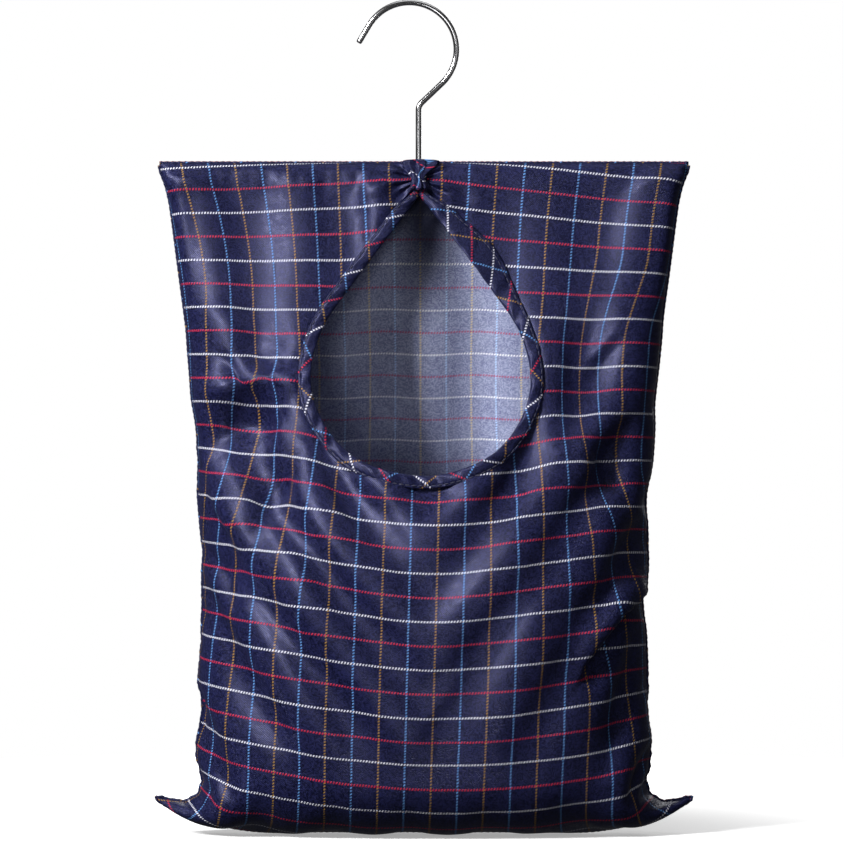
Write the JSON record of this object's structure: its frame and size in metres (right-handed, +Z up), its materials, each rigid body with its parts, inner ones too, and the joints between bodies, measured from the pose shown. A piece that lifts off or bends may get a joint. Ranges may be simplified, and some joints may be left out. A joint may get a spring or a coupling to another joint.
{
  "type": "peg bag",
  "caption": "Sewn cloth peg bag with a teardrop mouth in its front, held straight along the top by a wooden bar that turns on a bright wire hanging hook.",
  "frame": {"origin": "the point the bag hangs from: the inner side of the hook's crown, straight above the stem's axis", "axes": "+Z up along the hook's stem, front with the mouth to -Y, +X to the right seen from the front"},
  "size_m": [0.2982, 0.116, 0.4583],
  "materials": {
    "chrome_wire": "bright plated wire",
    "washer_steel": "plain zinc-plated steel",
    "bar_wood": "plain sanded softwood",
    "tartan_cloth": "satin navy cloth with thin red, white, light blue and gold twisted lines, paler reverse side",
    "navy_thread": "matt polyester sewing thread"
  },
  "bodies": {
    "hook": {"hook_wire": "chrome_wire", "hook_washer": "washer_steel"},
    "bag": {"hanger_bar": "bar_wood", "front_panel": "tartan_cloth", "back_panel": "tartan_cloth", "mouth_binding": "tartan_cloth", "apex_gather": "tartan_cloth", "mouth_stitching": "navy_thread", "side_seam_left": "tartan_cloth", "side_seam_right": "tartan_cloth", "bottom_seam": "tartan_cloth", "top_seam_left": "tartan_cloth", "top_seam_right": "tartan_cloth"}
  },
  "joints": [
    {"name": "hook_swivel", "type": "hinge", "parent": "hook", "child": "bag", "pos_m": [0, 0, -0.093], "axis": [0, 0, 1], "continuous": true}
  ]
}
